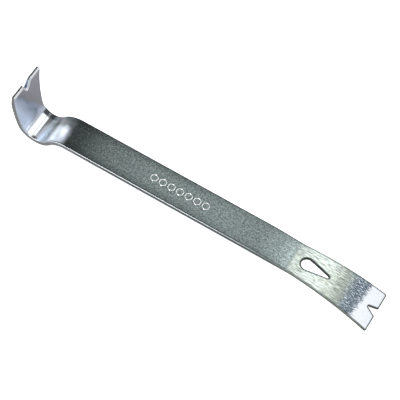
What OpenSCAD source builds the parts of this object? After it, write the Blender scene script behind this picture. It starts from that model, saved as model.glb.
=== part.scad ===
// Hive tool bent from one piece of flat steel bar.
// The claw end curls up with a nail notch in its tip.
// The blade end sweeps down, flares and thins to a notched chisel edge with a nail slot behind it.
// +X runs from the claw to the blade, +Z is up and Y runs across the bar.
// The tool rests on z = 0 on its heel and on its blade tip.

/* [Bar] */
// Width of the straight shank
shank_w = 19; // [16:0.5:24]
// Thickness of the bar
stock_t = 3.2; // [2.6:0.1:4]
// Straight length between the knee and the blade sweep
shank_l = 135; // [110:1:170]
// Bevel along the long edges of the shank
edge_c = 0.5; // [0.2:0.1:0.8]

/* [Claw] */
// Angle of the dip behind the shank
knee_angle = 50; // [40:1:56]
// Radius of the knee on its top face
knee_r = 15.2; // [12:0.2:20]
// Straight run between the knee and the heel
dip_l = 1.5; // [0.5:0.5:5]
// Radius of the heel on its inner face
heel_r = 7.8; // [6:0.2:10]
// Angle the heel turns through above its lowest point
heel_up = 76; // [70:1:80]
// Hollow radius of the claw's inner face, which also sets its height
claw_r = 110; // [90:5:140]
// Width of the claw across its tip
claw_tip_w = 23.8; // [21:0.2:27]
// Thickness of the claw at its tip
claw_tip_t = 2.0; // [1.6:0.1:2.4]
// Length of the thinning on the back of the claw
claw_thin_l = 8; // [4:1:12]
// Bevel on the inner edge of the claw tip and its notch
claw_bevel = 0.9; // [0.4:0.1:1.1]

/* [Blade] */
// Radius of the blade sweep on its underside
blade_r = 128; // [110:2:160]
// Length of the ground ramp that ends the shank's full thickness
ramp_l = 18; // [10:1:30]
// Thickness of the blade at its root
blade_root_t = 1.7; // [1.5:0.1:2.2]
// Thickness of the blade at its tip
blade_tip_t = 1.2; // [0.8:0.1:1.4]
// Width of the blade across its tip
blade_tip_w = 24.6; // [21:0.2:28]

/* [Slot and notches] */
// Distance from the start of the blade to the round end of the nail slot
slot_x = 6.3; // [5:0.1:12]
// Radius of the round end of the nail slot
slot_r = 3.3; // [2.8:0.1:4.4]
// Radius of the narrow end of the nail slot
slot_end_r = 0.8; // [0.7:0.1:1.4]
// Distance between the two end centres of the nail slot
slot_l = 12.1; // [10:0.1:16]
// Depth of the blade notch
blade_notch_l = 5.5; // [4:0.5:8]
// Width of the blade notch at its mouth
blade_notch_w = 4.7; // [3.6:0.1:6]
// Depth of the claw notch
claw_notch_l = 5.7; // [4:0.5:8]
// Width of the claw notch at its mouth
claw_notch_w = 6.0; // [4.4:0.2:7.4]
// Radius at the bottom of both notches
notch_r = 0.5; // [0.3:0.1:0.8]
// Bevel on the corners of both tips
corner_c = 0.6; // [0.3:0.1:1]

/* [Mark] */
// Number of hexagon rings in the raised mark
mark_n = 7; // [3:1:9]
// Size of one hexagon ring across its flats
mark_af = 4.3; // [3.4:0.1:5]
// Spacing of the hexagon rings
mark_pitch = 5.2; // [5.1:0.1:6]
// Wall of one hexagon ring
mark_wall = 0.6; // [0.4:0.1:1]
// Height of the mark above the shank
mark_h = 0.25; // [0.15:0.05:0.5]
// Distance from the knee to the middle of the mark
mark_x = 65; // [50:1:80]

/* [Hidden] */
$fa = 2;
$fs = 0.4;
eps = 0.5;
wide = 60;
// Longest step along a bend, as an angle and as a length
step_a = 3;
step_l = 2.5;
// Overlap that lets a straight wall run cleanly into a round end
merge = 0.02;

// Height of the shank's underside that puts heel and blade tip on one level
rise = (knee_r + heel_r) * (1 - cos(knee_angle)) + dip_l * sin(knee_angle);
top_z = rise + stock_t;

// Centres of the bends as [x, z], with x = 0 where the knee meets the shank
knee_c = [0, top_z - knee_r];
heel_c = [-(knee_r + heel_r) * sin(knee_angle) - dip_l * cos(knee_angle), heel_r + stock_t];
claw_a = 90 - heel_up;
claw_c = heel_c + (claw_r - heel_r) * [cos(claw_a), sin(claw_a)];
claw_x = claw_c[0] - claw_r;
claw_z = claw_c[1];

// Blade section: the underside arc and the slightly tighter ground top arc
blade_a = acos(1 - rise / blade_r);
under_c = [shank_l, rise - blade_r];
tip_under = [shank_l + blade_r * sin(blade_a), 0];
tip_top = tip_under + blade_tip_t * [sin(blade_a), cos(blade_a)];
top_run = tip_top[0] - shank_l;
top_drop = rise + blade_root_t - tip_top[1];
blade_top_r = (pow(top_run, 2) + pow(top_drop, 2)) / (2 * top_drop);
blade_top_c = [shank_l, rise + blade_root_t - blade_top_r];

// Half way between the back of the claw and the tip of the blade
claw_thin_a = asin(claw_thin_l / (claw_r + stock_t));
claw_back_x = claw_c[0] - (claw_r + stock_t) * cos(claw_thin_a);
mid_x = (claw_back_x + tip_top[0]) / 2;

bar();

// The whole tool, one bent and ground bar
module bar() {
  color([0.52, 0.55, 0.54])
    translate([-mid_x, 0, 0]) {
      difference() {
        intersection() {
          across()
            polygon(side_profile());
          outline_block();
        }
        shank_bevels();
        claw_notch();
        blade_notch();
        nail_slot();
      }
      mark();
    }
}

// Side view of the bar as one closed line, along its top from claw to blade and back below
function side_profile() = concat(
  [[claw_x - claw_bevel, claw_z]],
  bend(claw_c, claw_r, 180 + asin(claw_bevel / claw_r), 180 + claw_a),
  bend(heel_c, heel_r, 180 + claw_a, 270 + knee_angle),
  bend(knee_c, knee_r, 90 + knee_angle, 90),
  [[shank_l - ramp_l, top_z]],
  bend(blade_top_c, blade_top_r, 90, 90 - asin(top_run / blade_top_r)),
  bend(under_c, blade_r, 90 - blade_a, 90),
  bend(knee_c, knee_r - stock_t, 90, 90 + knee_angle),
  bend(heel_c, heel_r + stock_t, 270 + knee_angle, 180 + claw_a),
  bend(claw_c, claw_r + stock_t, 180 + claw_a, 180 + claw_thin_a),
  [[claw_x - claw_tip_t, claw_z]]);

// Points along an arc from angle a0 to angle a1
function bend(c, r, a0, a1) =
  let (n = ceil(max(abs(a1 - a0) / step_a, abs(a1 - a0) * PI / 180 * r / step_l)))
  [for (i = [0 : n]) c + r * [cos(a0 + (a1 - a0) * i / n), sin(a0 + (a1 - a0) * i / n)]];

// Everything inside the bar's outlines: shank width, claw flare and blade flare
module outline_block() {
  lead = shank_l / 8;
  flare_z = stock_t + merge;
  translate([heel_c[0] - stock_t, -shank_w / 2, -eps])
    cube([shank_l - heel_c[0], shank_w, top_z + 2 * eps]);
  translate([heel_c[0] - wide, 0, flare_z])
    rotate([90, 0, 90])
      linear_extrude(wide)
        rotate(90)
          flared_outline(shank_w, claw_tip_w, claw_z - flare_z, flare_z + eps);
  translate([shank_l, 0, -eps])
    linear_extrude(top_z + 2 * eps)
      flared_outline(shank_w, blade_tip_w, top_run, lead);
}

// Bevels along the long edges of the straight shank
module shank_bevels() {
  for (side = [0, 1])
    mirror([0, side, 0]) {
      shank_bevel(shank_l - ramp_l, top_z, 1);
      shank_bevel(shank_l, rise, -1);
    }
}

// One bevel along +X at the height z, facing up (1) or down (-1)
module shank_bevel(l, z, up) {
  h = shank_w / 2;
  rotate([90, 0, 90])
    linear_extrude(l)
      polygon([[h - edge_c - eps, z + up * eps],
               [h + eps, z - up * (edge_c + eps)],
               [h + eps, z + up * eps]]);
}

// V notch in the claw tip with a bevelled inner edge
module claw_notch() {
  wall_a = notch_angle(claw_notch_w, claw_notch_l);
  wall_l = notch_wall(claw_notch_w, claw_notch_l);
  translate([claw_x, 0, claw_z]) {
    translate([-wide / 2, 0, 0])
      rotate([90, 0, 90])
        linear_extrude(wide)
          rotate(90)
            notch(claw_notch_w, claw_notch_l);
    for (side = [0, 1])
      mirror([0, side, 0])
        translate([0, claw_notch_w / 2, 0])
          rotate([-wall_a, 0, 0])
            translate([0, 0, -wall_l])
              linear_extrude(wall_l + eps)
                polygon([[-claw_bevel - eps, -eps], [eps, claw_bevel + eps], [eps, -eps]]);
    translate([-claw_bevel, 0, notch_r - claw_notch_l])
      rotate([0, 90, 0])
        cylinder(r1 = notch_r, r2 = notch_r + claw_bevel + eps, h = claw_bevel + eps);
  }
}

// V notch in the blade tip
module blade_notch() {
  translate([tip_top[0], 0, -eps])
    linear_extrude(top_z)
      notch(blade_notch_w, blade_notch_l);
}

// Teardrop nail slot: round end towards the shank, narrow end towards the tip
module nail_slot() {
  a = asin((slot_r - slot_end_r) / slot_l);
  wall = [sin(a), cos(a)];
  big = (slot_r - merge) * wall;
  small = [slot_l, 0] + (slot_end_r - merge) * wall;
  translate([shank_l + slot_x, 0, -eps])
    linear_extrude(top_z + 2 * eps) {
      circle(r = slot_r);
      translate([slot_l, 0])
        circle(r = slot_end_r);
      polygon([big, small, [small[0], -small[1]], [big[0], -big[1]]]);
    }
}

// Row of raised hexagon rings on the shank
module mark() {
  for (i = [0 : mark_n - 1])
    translate([mark_x + (i - (mark_n - 1) / 2) * mark_pitch, 0, top_z - mark_h])
      linear_extrude(2 * mark_h)
        difference() {
          hexagon(mark_af);
          hexagon(mark_af - 2 * mark_wall);
        }
}

module hexagon(af) {
  rotate(30)
    circle(r = af / (2 * cos(30)), $fn = 6);
}

// Outline that widens from w0 at x = 0 to w1 at x = l, with bevelled tip corners
module flared_outline(w0, w1, l, lead) {
  side = (w1 - w0) / (2 * l);
  shoulder = w1 / 2 - corner_c * side;
  polygon([[-lead, -w0 / 2], [0, -w0 / 2], [l - corner_c, -shoulder], [l, corner_c - w1 / 2],
           [l, w1 / 2 - corner_c], [l - corner_c, shoulder], [0, w0 / 2], [-lead, w0 / 2]]);
}

// V notch opening towards +X with its mouth at x = 0 and a rounded bottom
module notch(w, l) {
  a = notch_angle(w, l);
  foot = [notch_r - l, 0] + (notch_r - merge) * [-sin(a), cos(a)];
  out = wide / 4;
  polygon([foot,
           [out, w / 2 + out * tan(a)],
           [out, -w / 2 - out * tan(a)],
           [foot[0], -foot[1]]]);
  translate([notch_r - l, 0])
    circle(r = notch_r);
}

// Angle between a notch wall and the centre line
function notch_angle(w, l) =
  atan2(w / 2, l - notch_r) - asin((notch_r - merge) / norm([w / 2, l - notch_r]));

// Length of a straight notch wall
function notch_wall(w, l) =
  sqrt(pow(w / 2, 2) + pow(l - notch_r, 2) - pow(notch_r - merge, 2));

// Extrudes a side outline, given as [x, z] points, right across the bar
module across() {
  rotate([90, 0, 0])
    translate([0, 0, -wide / 2])
      linear_extrude(wide)
        children();
}
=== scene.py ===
"""The hive tool's looks: one bent steel bar, rebuilt as a finer mesh inside the CAD bar's box.

The bar is drawn unrolled: s runs along its top face, in mm from where the knee meets the shank, and
y runs across it. The claw and the knee have s below 0, and the blade comes after the shank.
"""
import math

import bpy
import numpy as np
from mathutils import Matrix, Vector, geometry, kdtree


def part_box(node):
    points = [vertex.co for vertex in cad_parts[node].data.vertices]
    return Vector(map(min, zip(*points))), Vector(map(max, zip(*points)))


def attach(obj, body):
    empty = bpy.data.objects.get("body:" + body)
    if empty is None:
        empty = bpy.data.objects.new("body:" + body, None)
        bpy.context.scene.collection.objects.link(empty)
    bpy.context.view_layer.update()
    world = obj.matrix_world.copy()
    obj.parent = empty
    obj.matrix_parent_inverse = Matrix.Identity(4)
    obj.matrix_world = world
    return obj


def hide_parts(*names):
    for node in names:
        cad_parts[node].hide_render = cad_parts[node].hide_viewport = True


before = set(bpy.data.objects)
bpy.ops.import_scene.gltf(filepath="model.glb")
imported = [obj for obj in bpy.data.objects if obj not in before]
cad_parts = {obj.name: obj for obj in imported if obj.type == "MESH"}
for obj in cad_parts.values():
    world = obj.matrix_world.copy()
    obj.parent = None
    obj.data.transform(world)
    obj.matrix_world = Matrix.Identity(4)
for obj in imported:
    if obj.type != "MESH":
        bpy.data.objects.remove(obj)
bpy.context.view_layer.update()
bar_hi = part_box("bar")[1]

# ---------------------------------------------------------------- sizes in mm, the same as the CAD's
# Side view: x = 0 where the knee meets the shank, and z = 0 where the tool rests. Bend radii are those
# of the top face, apart from BLADE_R, which is the underside's.
STOCK_T = 3.2  # the bar's thickness
HALF_W = 9.5  # half the shank's width
SHANK_L = 135.0
KNEE_R = 15.2
KNEE_A = math.radians(50)
DIP_L = 1.5  # straight stretch between the knee and the heel
HEEL_R = 7.8
HEEL_UP = math.radians(76)  # how far the heel turns up before the claw's own bend
CLAW_R = 110.0
CLAW_HALF = 11.9  # half the width at its tip, as is BLADE_HALF
CLAW_TIP_T = 2.0
CLAW_THIN = 8.0  # length over which it thins
CLAW_BEVEL = 0.9
BLADE_R = 128.0
BLADE_HALF = 12.3
ROOT_T = 1.7  # thickness where the ground top face would meet the shank's end
TIP_T = 1.2
SLOT_X = 141.3  # centre of the nail slot's round end
SLOT_R = 3.3
SLOT_END_R = 0.8
SLOT_L = 12.1  # between the centres of its two ends
BLADE_NOTCH = (5.5, 2.35)  # depth, and half the width of its mouth
CLAW_NOTCH = (5.7, 3.0)
NOTCH_R = 0.5
MARK_N = 7  # raised hexagon rings, in a row centred on MARK_X
MARK_R = 2.15  # from a ring's centre to its flats
MARK_PITCH = 5.2
MARK_WALL = 0.6
MARK_H = 0.25
MARK_X = 65.0

# Details that only the visual model has.
FADE_START = 114.0  # x where the grinding starts to thin the bar
FADE_END = 138.0  # and where it has run into the blade's arc
GRIND_X = 133.0  # where the ground finish starts
GRIND_DEPTH = 0.02
CLAW_END_L = 9.0  # the part of the claw that its bevel and its notch lie in
PRESS_LINE = ((-23.9, 0.0), (-23.6, 0.0), (-22.6, -0.14), (-22.3, -0.14), (-21.7, 0.0))  # s, height
SLOT_ROUNDING = 0.3  # radius of the slot's rounded edge
LINE_STEP = 0.1  # between points of the side view
SPARE = 8.0  # how far the top line goes on past each tip
UV_MM = 100.0  # mm for one unit of the UV map
UNDERSIDE_Y = 45.0  # the underside's strip of the UV map is mirrored and lies this far across

RISE = (KNEE_R + HEEL_R) * (1 - math.cos(KNEE_A)) + DIP_L * math.sin(KNEE_A)
TOP_Z = RISE + STOCK_T
KNEE_C = np.array([0.0, TOP_Z - KNEE_R])
HEEL_C = np.array([-(KNEE_R + HEEL_R) * math.sin(KNEE_A) - DIP_L * math.cos(KNEE_A), HEEL_R + STOCK_T])
CLAW_A = math.pi / 2 - HEEL_UP
CLAW_C = HEEL_C + (CLAW_R - HEEL_R) * np.array([math.cos(CLAW_A), math.sin(CLAW_A)])
BLADE_A = math.acos(1 - RISE / BLADE_R)
TIP_X = SHANK_L + BLADE_R * math.sin(BLADE_A) + TIP_T * math.sin(BLADE_A)
TIP_Z = TIP_T * math.cos(BLADE_A)
RUN = TIP_X - SHANK_L
DROP = RISE + ROOT_T - TIP_Z
BLADE_TOP_R = (RUN ** 2 + DROP ** 2) / (2 * DROP)
BLADE_TOP_C = np.array([SHANK_L, RISE + ROOT_T - BLADE_TOP_R])
SHIFT = TIP_X - bar_hi.x * 1000  # from x here to x in the frame


# ---------------------------------------------------------------- side view of the bar
def arc(centre, radius, start, end):
    count = max(8, int(abs(end - start) * radius / LINE_STEP))
    angle = np.linspace(start, end, count)
    return centre + radius * np.stack([np.cos(angle), np.sin(angle)], 1)


def smooth(values, sigma):
    """Values at every LINE_STEP, blurred by a Gaussian of sigma mm, with both ends kept in line."""
    pad = int(4 * sigma / LINE_STEP)
    offset = np.arange(-pad, pad + 1) * LINE_STEP
    weight = np.exp(-0.5 * (offset / sigma) ** 2)
    before = 2 * values[0] - values[pad:0:-1]
    after = 2 * values[-1] - values[-2:-pad - 2:-1]
    return np.convolve(np.concatenate([before, values, after]), weight / weight.sum(), "valid")


def fade_line():
    """The ground fade from the shank's top face into the blade's arc, a cubic that is level at its start."""
    count = 260
    h = np.linspace(0, 1, count)[1:-1]
    length = FADE_END - FADE_START
    end_z = BLADE_TOP_C[1] + math.sqrt(BLADE_TOP_R ** 2 - (FADE_END - SHANK_L) ** 2)
    end_slope = -(FADE_END - SHANK_L) / (end_z - BLADE_TOP_C[1]) * length
    from_start = (2 * h ** 3 - 3 * h ** 2 + 1) * TOP_Z
    to_end = (3 * h ** 2 - 2 * h ** 3) * end_z + (h ** 3 - h ** 2) * end_slope
    return np.stack([FADE_START + h * length, from_start + to_end], 1)


def top_line():
    """Points of the top face from beyond the claw tip to beyond the blade tip, as x and z."""
    blend = 1.0  # mm over which one bend runs into the next
    fade_a = math.asin((FADE_END - SHANK_L) / BLADE_TOP_R)
    tip_a = math.asin(RUN / BLADE_TOP_R)
    shank_x = np.linspace(LINE_STEP, FADE_START, round(FADE_START / LINE_STEP))
    points = np.concatenate([
        arc(CLAW_C, CLAW_R, math.pi - SPARE / CLAW_R, math.pi + CLAW_A),
        arc(HEEL_C, HEEL_R, math.pi + CLAW_A, 1.5 * math.pi + KNEE_A),
        arc(KNEE_C, KNEE_R, math.pi / 2 + KNEE_A, math.pi / 2),
        np.stack([shank_x, np.full(len(shank_x), TOP_Z)], 1),
        fade_line(),
        arc(BLADE_TOP_C, BLADE_TOP_R, math.pi / 2 - fade_a, math.pi / 2 - tip_a - SPARE / BLADE_TOP_R)])
    apart = np.hypot(*np.diff(points, axis=0).T) > 1e-4
    points = points[np.concatenate([[True], apart])]
    length = np.concatenate([[0], np.cumsum(np.hypot(*np.diff(points, axis=0).T))])
    even = np.arange(0, length[-1], LINE_STEP)
    line = [np.interp(even, length, points[:, axis]) for axis in (0, 1)]
    return [2 * smooth(axis, blend) - smooth(smooth(axis, blend), blend) for axis in line]


LINE_X, LINE_Z = top_line()
HEEL_I = int(np.argmin(np.where(LINE_X < 0, LINE_Z, 99)))  # the heel's lowest point
LINE_S = np.concatenate([[0], np.cumsum(np.hypot(np.diff(LINE_X), np.diff(LINE_Z)))])
LINE_S -= np.interp(0.0, LINE_X[HEEL_I:], LINE_S[HEEL_I:])


def left_normal(line_x, line_z):
    """Unit normals on the left of a line that is known at LINE_S."""
    slope_x, slope_z = np.gradient(line_x, LINE_S), np.gradient(line_z, LINE_S)
    size = np.hypot(slope_x, slope_z)
    return -slope_z / size, slope_x / size


def s_at(x):
    return float(np.interp(x, LINE_X[HEEL_I:], LINE_S[HEEL_I:]))


TOP_NX, TOP_NZ = left_normal(LINE_X, LINE_Z)
S_CLAW = float(np.interp(-CLAW_C[1], -LINE_Z[:HEEL_I], LINE_S[:HEEL_I]))
S_TIP = s_at(TIP_X)


def half_width():
    """Half the bar's width: the CAD's straight flares, each with a soft bend where it starts."""
    bend, most_over = 2.0, 0.05
    up_claw = np.clip((LINE_Z - STOCK_T) / (CLAW_C[1] - STOCK_T), 0, 2) * (LINE_X < HEEL_C[0])
    down_blade = np.clip((LINE_X - SHANK_L) / RUN, 0, 2)
    width = HALF_W + (CLAW_HALF - HALF_W) * up_claw + (BLADE_HALF - HALF_W) * down_blade
    return np.minimum(smooth(width, bend), width + most_over)


def thickness():
    """Square to the top face: thinned at the claw tip, and on the blade down to its underside's arc."""
    thinned = CLAW_TIP_T + (STOCK_T - CLAW_TIP_T) * (LINE_S - S_CLAW) / CLAW_THIN
    plain = np.where(LINE_S < 0, smooth(np.minimum(STOCK_T, thinned), 0.8), STOCK_T)
    blade = np.full(len(LINE_S), STOCK_T)
    for _ in range(12):  # each round puts the lower end of the thickness nearer to the underside's arc
        x = np.clip(LINE_X - blade * TOP_NX, SHANK_L, SHANK_L + BLADE_R * 0.6)
        z = RISE - BLADE_R + np.sqrt(BLADE_R ** 2 - (x - SHANK_L) ** 2)
        blade = (LINE_Z - z) / np.maximum(TOP_NZ, 0.5)
    return np.where(LINE_S > FADE_START - 4, blade, plain)


WIDTH = half_width()
THICK = thickness()
UNDER_NX, UNDER_NZ = left_normal(-(LINE_X - THICK * TOP_NX), -(LINE_Z - THICK * TOP_NZ))


def along(line, s):
    """The value at s of a line that is known at LINE_S."""
    return np.interp(s, LINE_S, line)


def width_at(s):
    return float(along(WIDTH, s))


def between(s, stops):
    """Straight-line values between stops of (s, value)."""
    return np.interp(s, *zip(*stops))


# ---------------------------------------------------------------- outlines in the unrolled top face
def corner(before, at, after, radius, count=6):
    """Points of a fillet at a corner, between the directions of the points before and after it."""
    before, at, after = np.array(before, float), np.array(at, float), np.array(after, float)
    u = (before - at) / np.linalg.norm(before - at)
    v = (after - at) / np.linalg.norm(after - at)
    half = math.acos(np.clip(u @ v, -1, 1)) / 2
    centre = at + (u + v) / np.linalg.norm(u + v) * radius / math.sin(half)
    first, last = at + u * radius / math.tan(half), at + v * radius / math.tan(half)
    start = math.atan2(*(first - centre)[::-1])
    turn = (math.atan2(*(last - centre)[::-1]) - start + math.pi) % (2 * math.pi) - math.pi
    angles = [start + turn * i / count for i in range(count + 1)]
    return [tuple(centre + radius * np.array([math.cos(a), math.sin(a)])) for a in angles]


def fill(points, step):
    """The same line with points at most step(s) apart."""
    out = [points[0]]
    for a, b in zip(points, points[1:]):
        n = max(1, math.ceil(math.dist(a, b) / step((a[0] + b[0]) / 2)))
        out += [(a[0] + (b[0] - a[0]) * i / n, a[1] + (b[1] - a[1]) * i / n) for i in range(1, n + 1)]
    return out


def notch_angle(depth, half):
    """A notch's wall angle to the bar's length, and the distance from its mouth to its round end's centre."""
    reach = depth - NOTCH_R
    return math.atan2(half, reach) - math.asin(NOTCH_R / math.hypot(half, reach)), reach


def notch_half(tip, sign, notch):
    """The round end of one half of a notch, and the corner of its mouth at s = tip."""
    angle, reach = notch_angle(*notch)
    centre = tip - sign * reach
    around = np.linspace(math.pi, math.pi / 2 + angle, 8)
    end = [(centre + sign * NOTCH_R * math.cos(a), NOTCH_R * math.sin(a)) for a in around]
    return end, (tip, notch[1])


def outline_step(s):
    """How far apart the outline's points are: closer where the bar bends and at its tips."""
    return float(between(s, [
        (S_CLAW + 8, 0.3), (S_CLAW + 14, 0.5), (-4, 0.5), (8, 1.4), (110, 1.4), (130, 0.8),
        (S_TIP - 12, 0.8), (S_TIP - 6, 0.35)]))


def outer_loop():
    blade_end, blade_mouth = notch_half(S_TIP, 1, BLADE_NOTCH)
    claw_end, claw_mouth = notch_half(S_CLAW, -1, CLAW_NOTCH)
    side = [(float(s), width_at(s)) for s in np.arange(S_TIP - 0.9, S_CLAW + 0.6, -0.25)]
    blade_corner = (S_TIP, width_at(S_TIP))
    claw_corner = (S_CLAW, width_at(S_CLAW))
    blade_mouth_r, blade_corner_r, claw_corner_r, claw_mouth_r = 0.3, 0.75, 0.45, 0.22
    half = blade_end + corner(blade_end[-1], blade_mouth, blade_corner, blade_mouth_r)
    half += corner(blade_mouth, blade_corner, side[2], blade_corner_r) + side[::4]
    half += corner(side[-3], claw_corner, claw_mouth, claw_corner_r)
    half += corner(claw_corner, claw_mouth, claw_end[-1], claw_mouth_r) + claw_end[::-1]
    half = fill(half, outline_step)
    least_gap = 0.02
    half = [half[0]] + [b for a, b in zip(half, half[1:]) if math.dist(a, b) > least_gap]
    return np.array(half + [(s, -y) for s, y in half[-2:0:-1]])


def slot_loop():
    lean = math.asin((SLOT_R - SLOT_END_R) / SLOT_L)
    end = SLOT_X + SLOT_L
    round_end = np.linspace(math.pi, math.pi / 2 - lean, 26)
    narrow_end = np.linspace(math.pi / 2 - lean, 0, 10)
    half = [(SLOT_X + SLOT_R * math.cos(a), SLOT_R * math.sin(a)) for a in round_end]
    half += [(end + SLOT_END_R * math.cos(a), SLOT_END_R * math.sin(a)) for a in narrow_end]
    half = fill(half, lambda x: 0.5)
    return np.array([(s_at(x), y) for x, y in half + [(x, -y) for x, y in half[-2:0:-1]]])


def inward(loop):
    """Unit normals of a closed loop that has the metal on its left."""
    run = np.roll(loop, -1, 0) - loop
    normal = np.stack([-run[:, 1], run[:, 0]], 1) / np.linalg.norm(run, axis=1)[:, None]
    normal = normal + np.roll(normal, 1, 0)
    return normal / np.linalg.norm(normal, axis=1)[:, None]


def outer_rounding(loop):
    """The radius of the rounded edge: widest along the shank, and small round the tips and notches."""
    s, y = loop.T
    on_side = between(s, [(S_CLAW, 0.25), (S_CLAW + 5, 0.4), (-14, 0.55), (112, 0.55), (134, 0.4),
                          (S_TIP - 8, 0.35), (S_TIP, 0.34)])
    on_blade_end = np.where(s > S_TIP - 0.4, 0.36, 0.24)
    on_end = np.where(s < 0, 0.13, on_blade_end)
    radius = np.where(np.abs(y) > along(WIDTH, s) - 0.3, on_side, on_end)
    blur = np.array([1, 2, 3, 2, 1]) / 9
    return np.convolve(np.concatenate([radius[-2:], radius, radius[:2]]), blur, "valid")


class Rim:
    """A closed loop of the outline, turned so that the metal is on its left, with its rounded edge."""

    def __init__(self, loop, is_slot):
        s, y = loop.T
        area = 0.5 * np.sum(s * np.roll(y, -1) - y * np.roll(s, -1))
        self.loop = loop[::-1] if (area > 0) == is_slot else loop
        self.inward = inward(self.loop)
        self.radius = np.full(len(loop), SLOT_ROUNDING) if is_slot else outer_rounding(self.loop)
        self.inset = self.loop + self.inward * self.radius[:, None]

    def wall_normal(self, s):
        across_s, across_y = self.inward.T
        return unit(np.stack([-across_s * along(TOP_NZ, s), -across_y, across_s * along(TOP_NX, s)], 1))

    def is_opening(self):
        """1 at the walls of the slot and the notches, and 0 along the sides and the tips."""
        from_side, from_tip = 1.2, 0.3
        s, y = self.loop.T
        inner = np.where(np.abs(y) < along(WIDTH, s) - from_side, 1.0, 0.0)
        return inner * ((s > S_CLAW + from_tip) & (s < S_TIP - from_tip))


# ---------------------------------------------------------------- fine relief of the top face
def ease(t):
    t = np.clip(t, 0, 1)
    return t * t * (3 - 2 * t)


def wobble(y, seed, scale):
    """A smooth irregular line across the bar, about -1 to 1."""
    waves = enumerate((1.0, 2.3, 4.1, 7.7))
    return sum(np.sin(y * f / scale + seed * (i + 1.7) * 2.1) / (1 + 0.5 * i) for i, f in waves) / 2


def hexagon_radius(s, y):
    """Distance from a hexagon's centre to its side through a point, with slightly soft corners."""
    sharpness = 16
    turns = (0, math.pi / 3, 2 * math.pi / 3)
    total = sum(np.abs(s * math.cos(a) + y * math.sin(a)) ** sharpness for a in turns)
    return total ** (1 / sharpness)


def mark_centres():
    return [MARK_X + (i - (MARK_N - 1) / 2) * MARK_PITCH for i in range(MARK_N)]


def bevel_gap(s, y):
    """Distance from the claw's edge or its notch, whichever is nearer, for points in the metal."""
    angle, reach = notch_angle(*CLAW_NOTCH)
    from_end, across = s - (S_CLAW + reach), np.abs(y)
    to_wall = from_end * math.sin(angle) + across * math.cos(angle) - NOTCH_R
    to_round_end = np.hypot(from_end, across) - NOTCH_R
    beside_wall = from_end * math.cos(angle) - across * math.sin(angle) < 0
    return np.minimum(s - S_CLAW, np.where(beside_wall, to_wall, to_round_end))


def relief(s, y):
    """Height above the plain top face: the raised rings, the claw's bevel, the press line, the grinding."""
    flank = 0.2  # width of a ring's sloping side
    crease = 0.04  # rounding where the bevel meets the face
    bevel_end, bevel_fade = 2.5, 0.5
    grind_wave, grind_ramp = 0.5, 1.6
    height = np.zeros(len(s))
    for centre in mark_centres():
        depth = MARK_R - hexagon_radius(s - centre, y)
        height += MARK_H * ease(np.minimum(depth, MARK_WALL - depth) / flank)
    gap = bevel_gap(s, y)
    over = CLAW_BEVEL - gap
    bevel = 0.5 * (over + np.sqrt(over ** 2 + crease ** 2)) * np.clip((bevel_end - gap) / bevel_fade, 0, 1)
    height -= np.where(s < S_CLAW + CLAW_END_L, bevel, 0)
    height += between(s, PRESS_LINE)
    into_grind = s - GRIND_X - grind_wave * wobble(y, 3, 3.0)
    return height - GRIND_DEPTH * ease(into_grind / grind_ramp)


def shine(s, y):
    """Above 0 on the rings and the claw's bevel, burnished and partly painted highlight, and below 0 beside
    the rings, a painted shadow at their foot.
    """
    blend = 0.08  # mm over which the shine of a ring starts
    ring_shade, ring_shade_reach, ring_shade_blend = 0.7, 0.34, 0.24
    out = np.zeros(len(s))
    for centre in mark_centres():
        depth = MARK_R - hexagon_radius(s - centre, y)
        wall = np.minimum(depth, MARK_WALL - depth)
        out += ease((wall + blend / 2) / blend)
        # A painted shadow at the foot of each ring.
        out -= ring_shade * ease((wall + ring_shade_reach) / ring_shade_blend) * (wall < -0.03)
    on_bevel = ease((CLAW_BEVEL + 0.05 - bevel_gap(s, y)) / 0.1)
    return out + np.where(s < S_CLAW + CLAW_END_L, on_bevel, 0)


# ---------------------------------------------------------------- points and triangles of the flat part
def inside(points, loop):
    """Even-odd test of points against a closed loop."""
    hit = np.zeros(len(points), bool)
    for a, b in zip(loop, np.roll(loop, -1, 0)):
        if a[1] != b[1]:
            crosses = (a[1] > points[:, 1]) != (b[1] > points[:, 1])
            hit ^= crosses & (points[:, 0] < (b[0] - a[0]) * (points[:, 1] - a[1]) / (b[1] - a[1]) + a[0])
    return hit


def in_metal(points, rims):
    outer, slot = rims
    return inside(points, outer.inset) & ~inside(points, slot.inset)


def tree_of(points):
    tree = kdtree.KDTree(len(points))
    for i, (s, y) in enumerate(points):
        tree.insert((s, y, 0), i)
    tree.balance()
    return tree


def mark_rings():
    """Closed lines inside and outside each ring of the mark, so that its flanks stay crisp."""
    corner_spread = np.radians([-24, -10, 0, 10, 24])
    angle = np.concatenate([corner_spread + math.pi / 3 * (k + 0.5) for k in range(6)])
    around = np.stack([np.cos(angle), np.sin(angle)], 1)
    depths = (-0.34, -0.1, -0.04, 0.04, 0.1, 0.16, 0.22, 0.38, 0.44, 0.5, 0.56, 0.64, 0.7, 0.94)
    scale = 1 / hexagon_radius(around[:, 0], around[:, 1])
    return [around * ((MARK_R - depth) * scale)[:, None] + [centre, 0]
            for centre in mark_centres() for depth in depths]


def crease_lines():
    """Open lines along the claw's bevel and across the heel's press line, so that facets stay crisp."""
    angle, reach = notch_angle(*CLAW_NOTCH)
    centre = S_CLAW + reach
    either_side, from_side = 0.06, 0.42
    lines = []
    for gap in (CLAW_BEVEL - either_side, CLAW_BEVEL + either_side):
        s, radius = S_CLAW + gap, NOTCH_R + gap
        around = np.linspace(0, math.pi / 2 - angle, 14)
        half = [(centre + radius * math.cos(a), radius * math.sin(a)) for a in around]
        half.append((s, (radius - (s - centre) * math.sin(angle)) / math.cos(angle)))
        half.append((s, width_at(s) - from_side))
        half = fill(half, lambda at: 0.25)
        lines.append(np.array(half[::-1] + [(s, -y) for s, y in half[1:]]))
    for s, _ in PRESS_LINE:
        half_line = width_at(s) - 0.6
        lines.append(np.array(fill([(s, -half_line), (s, half_line)], lambda at: 0.4)))
    return lines


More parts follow.
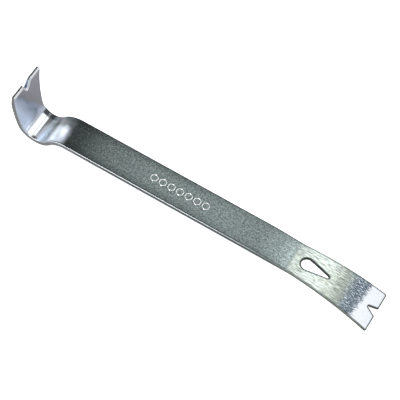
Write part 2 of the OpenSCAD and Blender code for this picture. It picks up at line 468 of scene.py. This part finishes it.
def lattice():
    """Staggered rows of points across the bar, as s, y and the spacing there."""
    spacing = [(S_CLAW + 7, 0.35), (S_CLAW + 10, 0.7), (-36, 0.7), (-30, 0.5), (2, 0.5), (8, 1.5),
               (130, 1.1), (S_TIP - 8, 0.9)]
    row_ratio = 0.87  # rows this much of the spacing apart make nearly equal-sided triangles
    least_across, claw_across = 0.7, 0.4
    from_claw, from_tip, from_side = 0.3, 0.25, 0.35
    rows = []
    s = S_CLAW + from_claw
    while s < S_TIP - from_tip:
        step = float(between(s, spacing))
        reach = width_at(s) - from_side
        if s < S_CLAW + 8:
            count = round(2 * reach / claw_across)
        else:
            count = max(8, round(2 * reach / max(step, least_across)))
        stagger = 0.5 if len(rows) % 2 else 0.0
        places = count if stagger else count + 1
        rows.append([(s, -reach + 2 * reach * (i + stagger) / count, step) for i in range(places)])
        s += step * row_ratio
    return np.array([point for row in rows for point in row])


def flat_part(rims):
    """Points and triangles between the rims, and each rim's own point numbers in them."""
    points, edges = [], []
    closed = [rim.inset for rim in rims] + mark_rings()
    for i, line in enumerate(closed + crease_lines()):
        first = len(points)
        points.extend(map(tuple, line))
        edges.extend((first + k, first + k + 1) for k in range(len(line) - 1))
        if i < len(closed):
            edges.append((first + len(line) - 1, first))
    fixed, ends = np.array(points), np.array(edges)
    tree = tree_of(np.concatenate([fixed, (fixed[ends[:, 0]] + fixed[ends[:, 1]]) / 2]))
    grid = lattice()
    grid = grid[in_metal(grid[:, :2], rims)]
    least_gap = 0.42  # from a fixed line, as a part of the spacing
    roomy = [tree.find((s, y, 0))[2] > least_gap * step for s, y, step in grid]
    points.extend(map(tuple, grid[roomy, :2]))

    result = geometry.delaunay_2d_cdt([Vector(p) for p in points], edges, [], 0, 1e-6)
    flat, faces = np.array([tuple(v) for v in result[0]]), np.array(list(result[2]))
    faces = faces[in_metal(flat[faces].mean(1), rims)]
    used = np.unique(faces)
    renumber = -np.ones(len(flat), int)
    renumber[used] = np.arange(len(used))
    place_of = {given: number for number, sources in enumerate(result[3]) for given in sources}
    rim_ids, first = [], 0
    for rim in rims:
        count = len(rim.loop)
        rim_ids.append(np.array([renumber[place_of[first + i]] for i in range(count)]))
        first += count
    return flat[used], renumber[faces], rim_ids


# ---------------------------------------------------------------- mesh
def unit(vectors):
    return vectors / np.linalg.norm(vectors, axis=1)[:, None]


def bent(s, y, depth):
    """Points of the bent bar that lie depth below the top face."""
    return np.stack([along(LINE_X, s) - depth * along(TOP_NX, s), y,
                     along(LINE_Z, s) - depth * along(TOP_NZ, s)], 1)


def top_normal(s, y):
    h = 0.01
    slope_s = (relief(s + h, y) - relief(s - h, y)) / (2 * h)
    slope_y = (relief(s, y + h) - relief(s, y - h)) / (2 * h)
    nx, nz = along(TOP_NX, s), along(TOP_NZ, s)
    return unit(np.stack([nx - slope_s * nz, -slope_y, nz + slope_s * nx], 1))


def under_normal(s):
    return unit(np.stack([along(UNDER_NX, s), np.zeros(len(s)), along(UNDER_NZ, s)], 1))


class Skin:
    """The finished mesh: points with their normals and the marks that the material reads, and faces.

    edge is 0 on the two flat faces, climbs to 0.5 round the upper edge, and is 0.75 on the walls and
    1 round the lower edge. The shine and shade mark is the function above, hole is 1 in the openings,
    and gap is the distance from the outline.
    """

    def __init__(self):
        self.points = []
        self.normals = []
        self.marks = {"edge": [], "shine": [], "hole": [], "gap": []}
        self.count = 0
        self.faces = []
        self.uvs = []

    def add(self, points, normals, **marks):
        """Adds points and returns their numbers."""
        self.points.append(points)
        self.normals.append(normals)
        for name, rows in self.marks.items():
            rows.append(np.broadcast_to(np.asarray(marks.get(name, 0), float), (len(points),)))
        numbers = self.count + np.arange(len(points))
        self.count += len(points)
        return numbers

    def bridge(self, rows):
        """Quads between rows of points, each row as its numbers and its places in the UV map."""
        for (upper, upper_uv), (lower, lower_uv) in zip(rows, rows[1:]):
            for i in range(len(upper)):
                j = (i + 1) % len(upper)
                self.faces.append((upper[i], lower[i], lower[j], upper[j]))
                self.uvs.append([upper_uv[i], lower_uv[i], lower_uv[j], upper_uv[j]])


def add_faces(skin, flat, triangles, rims):
    """The flat part, once as the top face and once as the underside."""
    outline = [a + (b - a) * t for rim in rims for a, b in zip(rim.loop, np.roll(rim.loop, -1, 0))
               for t in (0, 0.25, 0.5, 0.75)]
    near = tree_of(outline)
    s, y = flat.T
    gap = np.array([near.find((a, b, 0))[2] for a, b in flat])
    skin.add(bent(s, y, -relief(s, y)), top_normal(s, y), shine=shine(s, y), gap=gap)
    skin.add(bent(s, y, along(THICK, s)), under_normal(s), gap=gap)
    skin.faces += [tuple(f) for f in triangles] + [tuple(f[::-1] + len(flat)) for f in triangles]
    skin.uvs += [[(s[i], y[i]) for i in f] for f in triangles]
    skin.uvs += [[(s[i], UNDERSIDE_Y - y[i]) for i in f[::-1]] for f in triangles]


def add_rim(skin, rim, top_ids, under_ids):
    """The rounded upper edge, the wall and the rounded lower edge of one rim."""
    loop, radius, hole = rim.loop, rim.radius, rim.is_opening()
    steps, wall_steps = 5, 4

    def on_map(run):
        """Places in the UV map, a run beyond the outline."""
        return loop - rim.inward * run[:, None]

    def rounded(turn):
        """s, y and distance from the outline, and depth, of the rounding turned from flat to upright."""
        gap = radius * (1 - math.sin(turn))
        return *(loop + rim.inward * gap[:, None]).T, gap, radius * (1 - math.cos(turn))

    rows = [(top_ids, rim.inset)]
    for k in range(1, steps + 1):
        turn = math.pi / 2 * k / steps
        s, y, gap, depth = rounded(turn)
        normal = unit(math.cos(turn) * top_normal(s, y) + math.sin(turn) * rim.wall_normal(s))
        ids = skin.add(bent(s, y, depth - relief(s, y)), normal,
                       edge=0.5 * k / steps, shine=shine(s, y), hole=hole, gap=gap)
        rows.append((ids, on_map(radius * (turn - 1))))
    s, y = loop.T
    wall_top = radius - relief(s, y)
    wall_end = along(THICK, s) - radius
    for k in range(1, wall_steps):
        depth = wall_top + (wall_end - wall_top) * k / wall_steps
        ids = skin.add(bent(s, y, depth), rim.wall_normal(s), edge=0.75, hole=hole)
        rows.append((ids, on_map(depth)))
    for k in range(steps, 0, -1):
        turn = math.pi / 2 * k / steps
        s, y, gap, depth = rounded(turn)
        normal = unit(math.cos(turn) * under_normal(s) + math.sin(turn) * rim.wall_normal(s))
        ids = skin.add(bent(s, y, along(THICK, s) - depth), normal, edge=1, hole=hole, gap=gap)
        rows.append((ids, on_map(wall_end + radius * (math.pi / 2 - turn))))
    rows.append((under_ids, on_map(wall_end + radius * math.pi / 2)))
    skin.bridge(rows)


def build_bar():
    rims = [Rim(outer_loop(), False), Rim(slot_loop(), True)]
    flat, triangles, rim_ids = flat_part(rims)
    skin = Skin()
    add_faces(skin, flat, triangles, rims)
    for rim, ids in zip(rims, rim_ids):
        add_rim(skin, rim, ids, ids + len(flat))

    points = np.concatenate(skin.points)
    points[:, 0] -= SHIFT
    mesh = bpy.data.meshes.new("hive_tool_bar")
    mesh.from_pydata((points * 0.001).tolist(), [], [tuple(int(i) for i in f) for f in skin.faces])
    mesh.shade_smooth()
    uvs = np.array([place for face in skin.uvs for place in face], np.float32).ravel() / UV_MM
    mesh.uv_layers.new(name="unrolled").data.foreach_set("uv", uvs)
    for name, rows in skin.marks.items():
        values = np.concatenate(rows).astype(np.float32)
        mesh.attributes.new(name, "FLOAT", "POINT").data.foreach_set("value", values)
    mesh.normals_split_custom_set_from_vertices(np.concatenate(skin.normals).tolist())
    mesh.update()
    obj = bpy.data.objects.new("hive_tool_bar", mesh)
    bpy.context.scene.collection.objects.link(obj)
    return obj


bar = build_bar()
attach(bar, "root")
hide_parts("bar")


# ---------------------------------------------------------------- material
class Graph:
    """Short forms for building a node tree. An input is a number, a colour or another node's output."""

    def __init__(self, tree):
        self.tree = tree
        tree.nodes.clear()

    def node(self, kind, inputs=None, **props):
        new = self.tree.nodes.new(kind)
        for name, value in props.items():
            setattr(new, name, value)
        for key, value in (inputs or {}).items():
            self.put(new.inputs[key], value)
        return new

    def put(self, socket, value):
        if isinstance(value, bpy.types.NodeSocket):
            self.tree.links.new(value, socket)
        elif socket.type == "RGBA":
            socket.default_value = (*value, 1)
        else:
            socket.default_value = value

    def math(self, operation, a, b=0.0, c=0.0, clamp=False):
        inputs = {0: a, 1: b, 2: c}
        return self.node("ShaderNodeMath", inputs, operation=operation, use_clamp=clamp).outputs[0]

    def product(self, *factors):
        result = factors[0]
        for factor in factors[1:]:
            result = self.math("MULTIPLY", result, factor)
        return result

    def span(self, value, a, b, lo=0.0, hi=1.0):
        """A smooth step of the value from a to b, as lo to hi."""
        inputs = {"Value": value, "From Min": a, "From Max": b, "To Min": lo, "To Max": hi}
        return self.node("ShaderNodeMapRange", inputs, interpolation_type="SMOOTHSTEP").outputs[0]

    def band(self, value, a, b, c, d):
        """A smooth step up from a to b, and down again from c to d."""
        return self.product(self.span(value, a, b), self.span(value, d, c))

    def mix(self, amount, a, b, blend="MIX"):
        inputs = {0: amount, 6: a, 7: b}
        return self.node("ShaderNodeMix", inputs, data_type="RGBA", blend_type=blend).outputs[2]

    def times(self, colour, factor):
        return self.mix(1.0, colour, factor, "MULTIPLY")

    def mix_value(self, amount, a, b):
        return self.node("ShaderNodeMix", {0: amount, 2: a, 3: b}, data_type="FLOAT").outputs[0]

    def noise(self, place, detail, rough=0.5, warp=0.0, scale=1.0):
        inputs = {"Vector": place, "Scale": scale, "Detail": detail, "Roughness": rough, "Distortion": warp}
        return self.node("ShaderNodeTexNoise", inputs).outputs[0]

    def ramp(self, value, stops):
        """Tones between stops of (value, tone), where a tone is a colour or a grey number."""
        node = self.node("ShaderNodeValToRGB", {0: value})
        elements = node.color_ramp.elements
        while len(elements) < len(stops):
            elements.new(0.5)
        for element, (position, tone) in zip(elements, stops):
            element.position = position
            element.color = (*tone, 1) if isinstance(tone, tuple) else (tone, tone, tone, 1)
        return node.outputs[0]

    def along_bar(self, s, stops):
        """Tones between stops of (s, tone)."""
        first, last = stops[0][0], stops[-1][0]
        place = self.node("ShaderNodeMapRange", {"Value": s, "From Min": first, "From Max": last}).outputs[0]
        return self.ramp(place, [((at - first) / (last - first), tone) for at, tone in stops])

    def ragged(self, value, noise, reach):
        """The value moved by up to half of reach either way, which makes a ragged border."""
        return self.math("ADD", value, self.product(self.math("SUBTRACT", noise, 0.5), reach))


def tinted(tint, stops):
    return [(at, tuple(tone * c for c in tint)) for at, tone in stops]


SHANK_TINT = (0.84, 1.0, 0.97)
BLADE_TINT = (0.91, 1.0, 0.935)
# Soot black, also the colour of painted dark reflections on the knee and the heel.
SOOT_AND_DARK_REFLECTION = (0.012, 0.015, 0.017)


def grain(g, s, y):
    """The noises that the finishes share. Stretched ones run along the bar, as its grinding does."""
    def place(per_mm_s, per_mm_y, seed):
        inputs = {0: g.product(s, per_mm_s), 1: g.product(y, per_mm_y), 2: seed}
        return g.node("ShaderNodeCombineXYZ", inputs).outputs[0]

    return {
        "cloud": g.noise(place(0.12, 0.16, 1.0), 3.0),
        "mottle": g.noise(place(1.0, 1.25, 4.0), 5.0, 0.75, scale=1.25),
        "patch": g.noise(place(0.7, 0.8, 13.0), 2.0, 0.6),
        "grit": g.noise(place(1.0, 1.0, 7.0), 3.0, 0.6, scale=4.0),
        "streak": g.noise(place(0.10, 1.3, 2.0), 4.0, 0.65),
        "hair": g.noise(place(0.30, 4.5, 5.0), 4.0, 0.65),
        "dash": g.noise(place(0.24, 2.6, 8.0), 5.0, 0.72, 0.1),
        "fleck": g.noise(place(0.50, 2.7, 11.0), 4.0, 0.70),
    }


def tumbled_shank(g, s, y, noise):
    """Speckled grey-green, with painted shade and light along the bar: darkest beside the knee and brightest
    beside the blade.
    """
    speckle = tinted(SHANK_TINT, [(0.35, 0.070), (0.5, 0.168), (0.65, 0.31)])
    patches = [(0.36, 0.72), (0.5, 1.0), (0.64, 1.26)]
    # Painted shade and light along the shank: dark beside the knee, bright beside the blade.
    shade_along_bar = [(0.0, 0.34), (6.0, 0.42), (12.0, 0.70), (20.0, 1.03), (29.3, 1.21), (45.2, 1.43),
            (93.1, 1.46), (106.4, 1.32), (123.7, 1.24), (129.0, 1.5), (GRIND_X, 2.2)]
    colour = g.times(g.ramp(noise["mottle"], speckle), g.along_bar(s, shade_along_bar))
    colour = g.times(colour, g.ramp(noise["patch"], patches))
    sides = g.product(g.span(g.math("ABSOLUTE", y), 3.8, 8.8), g.span(s, 60.0, 110.0, 0.34, 0.12))
    return g.mix(sides, colour, (0.0, 0.0, 0.0))


def ground_blade(g, s, y, noise):
    """Lengthwise grinding: greenish white, then olive, a blue-grey band and a clean tip.

    Also returns how much of each point is clean tip.
    """
    scratches = tinted(BLADE_TINT, [(0.34, 0.06), (0.43, 0.41), (0.52, 0.68), (0.60, 1.0)])
    fresh = [(GRIND_X, 0.66), (GRIND_X + 5.5, 0.92), (GRIND_X + 12.1, 0.90), (GRIND_X + 22.0, 0.82)]
    colour = g.times(g.ramp(noise["dash"], scratches), g.along_bar(s, fresh))
    warm = g.times(colour, (1.0, 0.985, 0.86))
    colour = g.mix(g.span(noise["cloud"], 0.45, 0.62, 0.0, 0.35), colour, warm)
    rust = g.product(g.span(noise["streak"], 0.50, 0.66, 0.0, 0.5),
                     g.span(s, GRIND_X + 8.0, GRIND_X + 18.0))
    colour = g.mix(rust, colour, g.times(colour, (0.62, 0.56, 0.42)))

    band_start = g.ragged(g.math("MULTIPLY_ADD", y, 0.03, s), noise["fleck"], 14.0)
    band_end = g.ragged(g.math("MULTIPLY_ADD", y, -0.10, s), noise["fleck"], 7.0)
    band_end = g.ragged(band_end, noise["hair"], 11.0)
    olive = [(0.36, (0.026, 0.033, 0.026)), (0.5, (0.13, 0.146, 0.116)), (0.62, (0.33, 0.355, 0.29))]
    blue = [(0.38, (0.010, 0.017, 0.026)), (0.47, (0.052, 0.072, 0.092)),
            (0.54, (0.145, 0.172, 0.205)), (0.61, (0.52, 0.56, 0.60))]
    to_olive = g.span(band_start, S_TIP - 33.0, S_TIP - 20.5, 0.0, 0.8)
    to_blue = g.span(band_start, S_TIP - 23.3, S_TIP - 16.5, 0.0, 0.95)
    tip = g.span(band_end, S_TIP - 10.9, S_TIP - 10.0)
    colour = g.mix(to_olive, colour, g.ramp(noise["dash"], olive))
    colour = g.mix(to_blue, colour, g.ramp(noise["fleck"], blue))
    return g.mix(tip, colour, (0.415, 0.422, 0.445)), tip


def claw_face(g, s, y, noise, colour):
    """The claw's hollow face with painted reflections: bluish on its near half and greyer beyond a slanting
    line.
    """
    slant = g.math("SUBTRACT", y, g.product(g.math("ADD", s, 43.0), 0.62))
    near = g.product(g.band(slant, -15.0, -7.5, -3.2, -0.8), g.span(s, -28.5, -31.0))
    far = g.product(g.span(g.ragged(slant, noise["cloud"], 3.0), -1.8, 1.5), g.span(s, -28.0, -31.0))
    colour = g.mix(near, colour, (0.78, 0.85, 1.0))
    return g.mix(far, colour, (0.47, 0.457, 0.462))


def knee_far_half(g, s, y, noise, colour):
    """The knee's far half, painted darker as a dark reflection, with a painted dark line near its edge."""
    far_half_dark_reflection = [(-22.0, 0.36), (-18.8, 0.37), (-17.2, 0.55), (-15.8, 0.47), (-12.8, 0.50), (-11.2, 0.46),
            (-9.8, 0.30), (-8.2, 0.17), (-6.8, 0.14), (-5.2, 0.10), (-3.8, 0.14), (-2.0, 0.24)]
    far = g.ragged(g.math("ADD", y, g.span(s, -13.0, -7.0, 0.0, 1.6)), noise["cloud"], 4.0)
    half = g.product(g.span(far, 0.0, 5.0), g.span(s, -22.5, -21.0))
    # A painted dark line near the far edge, standing in for a dark reflection.
    rim = g.product(g.span(far, 6.0, 9.0, 0.0, 0.5), g.span(s, -14.0, -10.0))
    colour = g.mix(half, colour, g.times(colour, g.along_bar(s, far_half_dark_reflection)))
    return g.mix(rim, colour, SOOT_AND_DARK_REFLECTION)


def heel_soot_and_dark_reflection(g, s, y, noise):
    """How black the heel is: soot and painted dark reflections at the two ends of its bright band, and a
    painted dark line along its press line.
    """
    across = g.ragged(y, noise["mottle"], 2.5)
    far_depth = [(-27.6, 0.0), (-26.8, 0.97), (-24.4, 0.97), (-23.4, 0.80), (-22.4, 0.88),
                 (-20.0, 0.72), (-18.0, 0.50), (-15.0, 0.10), (-12.0, 0.0)]
    far = g.product(g.span(across, 5.2, 6.7), g.along_bar(s, far_depth))
    near = g.product(g.span(across, -7.0, -8.6, 0.0, 0.9), g.band(s, -24.6, -23.4, -22.4, -20.0))
    # The dark lines along the press line are painted, a dark reflection breaking the heel's bright band.
    crease = g.product(g.band(s, -22.8, -22.2, -22.0, -20.8),
                       g.span(noise["mottle"], 0.35, 0.6, 0.40, 0.75),
                       g.span(y, -7.0, 5.0, 0.45, 1.0))
    ridge = g.product(g.band(s, -24.4, -24.1, -24.0, -23.7), g.span(noise["mottle"], 0.3, 0.6, 0.1, 0.55))
    return g.math("MAXIMUM", g.math("MAXIMUM", far, near), g.math("MAXIMUM", crease, ridge))


def polished_claw(g, s, y, noise):
    """Bluish steel of the claw, the heel and the knee, with painted reflections: its tones along the bar are
    lighter where highlights fall and darker where dark reflections fall.
    """
    # Tones along the bar, partly painted reflection: brightest where the knee and heel catch highlights.
    tones_and_painted_reflections = [(-59, (0.70, 0.75, 0.92)), (-42, (0.60, 0.665, 0.80)), (-33, (0.60, 0.645, 0.76)),
             (-28, (0.71, 0.75, 0.86)), (-26, (0.465, 0.49, 0.50)), (-23, (0.475, 0.49, 0.505)),
             (-21, (0.54, 0.58, 0.64)), (-18, (0.40, 0.45, 0.48)), (-13, (0.97, 1.0, 1.0)),
             (-7, (0.86, 0.93, 0.96)), (-4, (0.62, 0.65, 0.75))]
    colour = claw_face(g, s, y, noise, g.along_bar(s, tones_and_painted_reflections))
    colour = knee_far_half(g, s, y, noise, colour)
    colour = g.times(colour, g.ramp(noise["hair"], [(0.3, 0.90), (0.5, 1.0), (0.7, 1.06)]))
    return g.mix(heel_soot_and_dark_reflection(g, s, y, noise), colour, SOOT_AND_DARK_REFLECTION)


def finishes(g, s, y, noise):
    """Colour, roughness and bump height of the three finishes, and how much of each point is ground."""
    border = g.ragged(s, noise["dash"], 6.0)
    ground = g.span(border, GRIND_X - 1.4, GRIND_X + 1.4)
    seam = g.band(border, GRIND_X - 1.8, GRIND_X - 0.4, GRIND_X, GRIND_X + 1.4)
    polished = g.span(g.ragged(s, noise["cloud"], 4.0), -0.4, -6.0)
    blade_colour, tip = ground_blade(g, s, y, noise)
    colour = g.mix(ground, tumbled_shank(g, s, y, noise), blade_colour)
    colour = g.mix(g.product(seam, 0.5), colour, (0.12, 0.15, 0.145))
    colour = g.mix(polished, colour, polished_claw(g, s, y, noise))

    shank_rough = g.span(noise["mottle"], 0.3, 0.7, 0.42, 0.34)
    blade_rough = g.span(noise["dash"], 0.3, 0.7, 0.45, 0.32)
    claw_rough = g.along_bar(s, [
        (-60.0, 0.30), (-48.0, 0.38), (-34.8, 0.38), (-30.0, 0.30), (-27.0, 0.20), (-21.6, 0.18),
        (-18.0, 0.30), (-13.2, 0.42), (-7.8, 0.34), (0.0, 0.34)])
    rough = g.mix_value(tip, g.mix_value(ground, shank_rough, blade_rough), 0.26)
    rough = g.mix_value(polished, rough, claw_rough)

    pits = g.product(g.math("ADD", noise["grit"], noise["mottle"]), 0.5)
    grooves = g.math("ADD", g.product(noise["hair"], 0.6), g.product(noise["dash"], 0.5))
    height = g.mix_value(ground, pits, grooves)
    height = g.mix_value(polished, height, g.product(noise["hair"], 0.10))
    return colour, rough, height, ground


def dark_lines(g, s, y, gap, on_blade, colour):
    """Painted dark lines: a dark reflection inside the long edges, and darker rims round the blade tip and
    the slot that stand in for their shaded edges.
    """
    # A painted dark reflection inside the long edges.
    inner = g.product(g.band(gap, 0.08, 0.20, 0.75, 1.15), g.span(s, -20.0, -4.0, 0.0, 0.62))
    # Painted dark rims round the blade tip and the slot, standing in for their shaded edge faces.
    tip_dark_rim = g.product(g.span(gap, 0.72, 0.50), g.span(s, S_TIP - 9.0, S_TIP - 6.0))
    thicker = g.span(s, SLOT_X + 2.0, SLOT_X - 2.0, 0.0, 0.25)
    by_slot = g.math("LESS_THAN", g.math("ABSOLUTE", y), 5.0)
    slot_rim = g.product(g.span(g.math("SUBTRACT", gap, thicker), 0.62, 0.40), by_slot, on_blade)
    colour = g.mix(inner, colour, (0.035, 0.045, 0.043))
    return g.mix(g.math("MAXIMUM", tip_dark_rim, slot_rim), colour, (0.05, 0.058, 0.048))


def edges_and_walls(g, s, marks, on_blade, colour, rough):
    """Bright bevels, rings and rounded edges, burnished and partly painted highlights, with walls painted
    darker as shade and dark reflections.
    """
    edge, shine_and_shade_mark = marks["edge"], marks["shine"]
    # The rounded edges' painted highlight, fading along the bar towards the blade.
    rounding = g.product(g.band(edge, 0.22, 0.34, 0.56, 0.66), g.span(s, 60.0, 130.0, 0.95, 0.2))
    bright = g.math("MAXIMUM", shine_and_shade_mark, rounding, clamp=True)
    # The painted shadow at the foot of the rings.
    ring_shade = g.math("MULTIPLY", shine_and_shade_mark, -1.0, clamp=True)
    wall = g.math("MAXIMUM", g.span(edge, 0.5, 0.6), g.product(g.span(edge, 0.02, 0.12), on_blade))
    # The walls' tones are painted shade and reflection: dark grey-green along the shank and blade, paler on
    # the claw, bluish in the claw's notch and near black in the slot and the blade's notch.
    side_wall = g.along_bar(s, [
        (-60.0, (0.33, 0.325, 0.29)), (-27.5, (0.36, 0.35, 0.32)), (-10.0, (0.46, 0.45, 0.42)),
        (0.0, (0.40, 0.39, 0.37)), (15.0, (0.20, 0.22, 0.21)), (127.5, (0.17, 0.195, 0.175)),
        (190.0, (0.13, 0.145, 0.11))])
    opening_wall = g.mix(g.span(s, 0.0, 1.0), (0.30, 0.35, 0.44), (0.03, 0.04, 0.035))
    # A painted dark reflection on the claw tip's end edge.
    claw_end = g.product(g.span(edge, 0.05, 0.2), g.span(s, S_CLAW + 0.8, S_CLAW + 0.3))
    colour = g.mix(ring_shade, colour, (0.03, 0.038, 0.036))
    colour = g.mix(bright, colour, (0.97, 0.98, 0.98))
    colour = g.mix(wall, colour, g.mix(marks["hole"], side_wall, opening_wall))
    colour = g.mix(claw_end, colour, (0.12, 0.125, 0.13))
    rough = g.mix_value(wall, g.mix_value(bright, rough, 0.22), 0.36)
    return colour, rough


def steel():
    mat = bpy.data.materials.new("hive_tool_steel")
    mat.use_nodes = True
    g = Graph(mat.node_tree)
    uv = g.node("ShaderNodeSeparateXYZ", {0: g.node("ShaderNodeUVMap", uv_map="unrolled").outputs[0]})
    s, y = g.product(uv.outputs[0], UV_MM), g.product(uv.outputs[1], UV_MM)
    marks = {name: g.node("ShaderNodeAttribute", attribute_name=name).outputs["Fac"]
             for name in ("edge", "shine", "hole", "gap")}
    on_blade = g.span(s, 112.0, 128.0)
    colour, rough, height, ground = finishes(g, s, y, grain(g, s, y))
    colour = dark_lines(g, s, y, marks["gap"], on_blade, colour)
    colour, rough = edges_and_walls(g, s, marks, on_blade, colour, rough)
    bump = g.node("ShaderNodeBump", {"Height": height, "Strength": 0.7, "Distance": 0.00006})
    tangent = g.node("ShaderNodeTangent", direction_type="UV_MAP", uv_map="unrolled")
    surface = g.node("ShaderNodeBsdfPrincipled", {
        "Base Color": colour, "Metallic": 1.0, "Roughness": rough,
        "Anisotropic": g.product(ground, 0.75), "Anisotropic Rotation": 0.25,
        "Tangent": tangent.outputs[0], "Normal": bump.outputs[0]})
    g.node("ShaderNodeOutputMaterial", {0: surface.outputs[0]})
    return mat


bar.data.materials.append(steel())


# ---------------------------------------------------------------- floor, light and camera, in metres
# The sky's tones from level, at 0.5, to straight up, at 1.
SKY = [(0.5, (0.60, 0.61, 0.65)), (0.75, (0.56, 0.57, 0.58)), (1.0, (0.95, 0.96, 0.955))]

# The camera's fit to the photo: it looks at the target, and its angles are in degrees.
CAMERA_TARGET = (-0.002188, 0.0083753, 0.0)
CAMERA_DISTANCE = 0.8780483
CAMERA_AZIMUTH = -68.187175
CAMERA_ELEVATION = 59.595149
CAMERA_ROLL = 9.89933
CAMERA_LENS = 149.60


def white_stage():
    """A floor that the camera sees as white, and that the steel reflects as grey."""
    reach = 6.0
    mesh = bpy.data.meshes.new("floor")
    corners = [(-reach, -reach, 0), (reach, -reach, 0), (reach, reach, 0), (-reach, reach, 0)]
    mesh.from_pydata(corners, [], [(0, 1, 2, 3)])
    floor = bpy.data.objects.new("floor", mesh)
    bpy.context.scene.collection.objects.link(floor)
    mat = bpy.data.materials.new("white_floor")
    mat.use_nodes = True
    g = Graph(mat.node_tree)
    seen = g.node("ShaderNodeLightPath").outputs["Is Camera Ray"]
    paper = g.node("ShaderNodeBsdfDiffuse", {"Color": g.mix(seen, (0.30, 0.31, 0.34), (0.92, 0.92, 0.92))})
    glow = g.node("ShaderNodeEmission", {
        "Color": g.mix(seen, (0.20, 0.21, 0.235), (0.78, 0.78, 0.78)), "Strength": 1.0})
    both = g.node("ShaderNodeAddShader", {0: paper.outputs[0], 1: glow.outputs[0]})
    g.node("ShaderNodeOutputMaterial", {0: both.outputs[0]})
    mesh.materials.append(mat)


def softbox(name, place, size, radiance, tint=(1, 1, 1), aim=None):
    """A rectangular light of a given radiance. It faces down, or towards aim."""
    light = bpy.data.lights.new(name, "AREA")
    light.shape = "RECTANGLE"
    light.size, light.size_y = size
    light.energy = radiance * math.pi * size[0] * size[1]
    light.color = tint
    obj = bpy.data.objects.new(name, light)
    obj.location = place
    if aim:
        obj.rotation_mode = "QUATERNION"
        obj.rotation_quaternion = (Vector(place) - Vector(aim)).to_track_quat("Z", "Y")
    obj.visible_camera = False
    bpy.context.scene.collection.objects.link(obj)


def light_stage():
    """White to the camera, with a pale sky and five panels in the steel's reflections."""
    world = bpy.data.worlds.new("studio")
    bpy.context.scene.world = world
    world.use_nodes = True
    g = Graph(world.node_tree)
    seen = g.node("ShaderNodeLightPath").outputs["Is Camera Ray"]
    direction = g.node("ShaderNodeTexCoord").outputs["Generated"]
    up = g.node("ShaderNodeSeparateXYZ", {0: direction}).outputs[2]
    sky = g.ramp(g.math("MULTIPLY_ADD", up, 0.5, 0.5), SKY)
    shade = g.node("ShaderNodeBackground", {"Color": g.mix(seen, sky, (1, 1, 1)), "Strength": 1.0})
    g.node("ShaderNodeOutputWorld", {0: shade.outputs[0]})

    over_tint, left_tint = (0.95, 0.98, 1.0), (0.93, 0.98, 1.0)
    knee, centre = (-0.08, 0, 0.01), (0, 0, 0.01)
    softbox("panel_a", (0.130, 0.50, 0.8), (0.184, 0.90), 1.9, over_tint)
    softbox("panel_b", (0.755, 0.50, 0.8), (0.99, 0.90), 1.9, over_tint)
    softbox("panel_left", (-0.95, 0.56, 0.59), (0.50, 0.40), 2.2, left_tint, knee)
    softbox("panel_low", (-0.95, 0.56, 0.22), (0.50, 0.34), 1.4, left_tint, knee)
    softbox("panel_front", (-0.25, -1.10, 0.34), (1.4, 0.50), 4.0, aim=centre)


def camera():
    data = bpy.data.cameras.new("camera")
    data.sensor_width, data.lens = 36, CAMERA_LENS
    data.clip_start, data.clip_end = 0.05, 30
    turn = Matrix.Rotation(math.radians(CAMERA_AZIMUTH + 90), 4, "Z")
    tilt = Matrix.Rotation(math.radians(90 - CAMERA_ELEVATION), 4, "X")
    roll = Matrix.Rotation(math.radians(CAMERA_ROLL), 4, "Z")
    back_off = Matrix.Translation((0, 0, CAMERA_DISTANCE))
    cam = bpy.data.objects.new("camera", data)
    cam.matrix_world = Matrix.Translation(CAMERA_TARGET) @ turn @ tilt @ roll @ back_off
    bpy.context.scene.collection.objects.link(cam)
    bpy.context.scene.camera = cam


white_stage()
light_stage()
camera()
bpy.context.scene.view_settings.view_transform = "Standard"
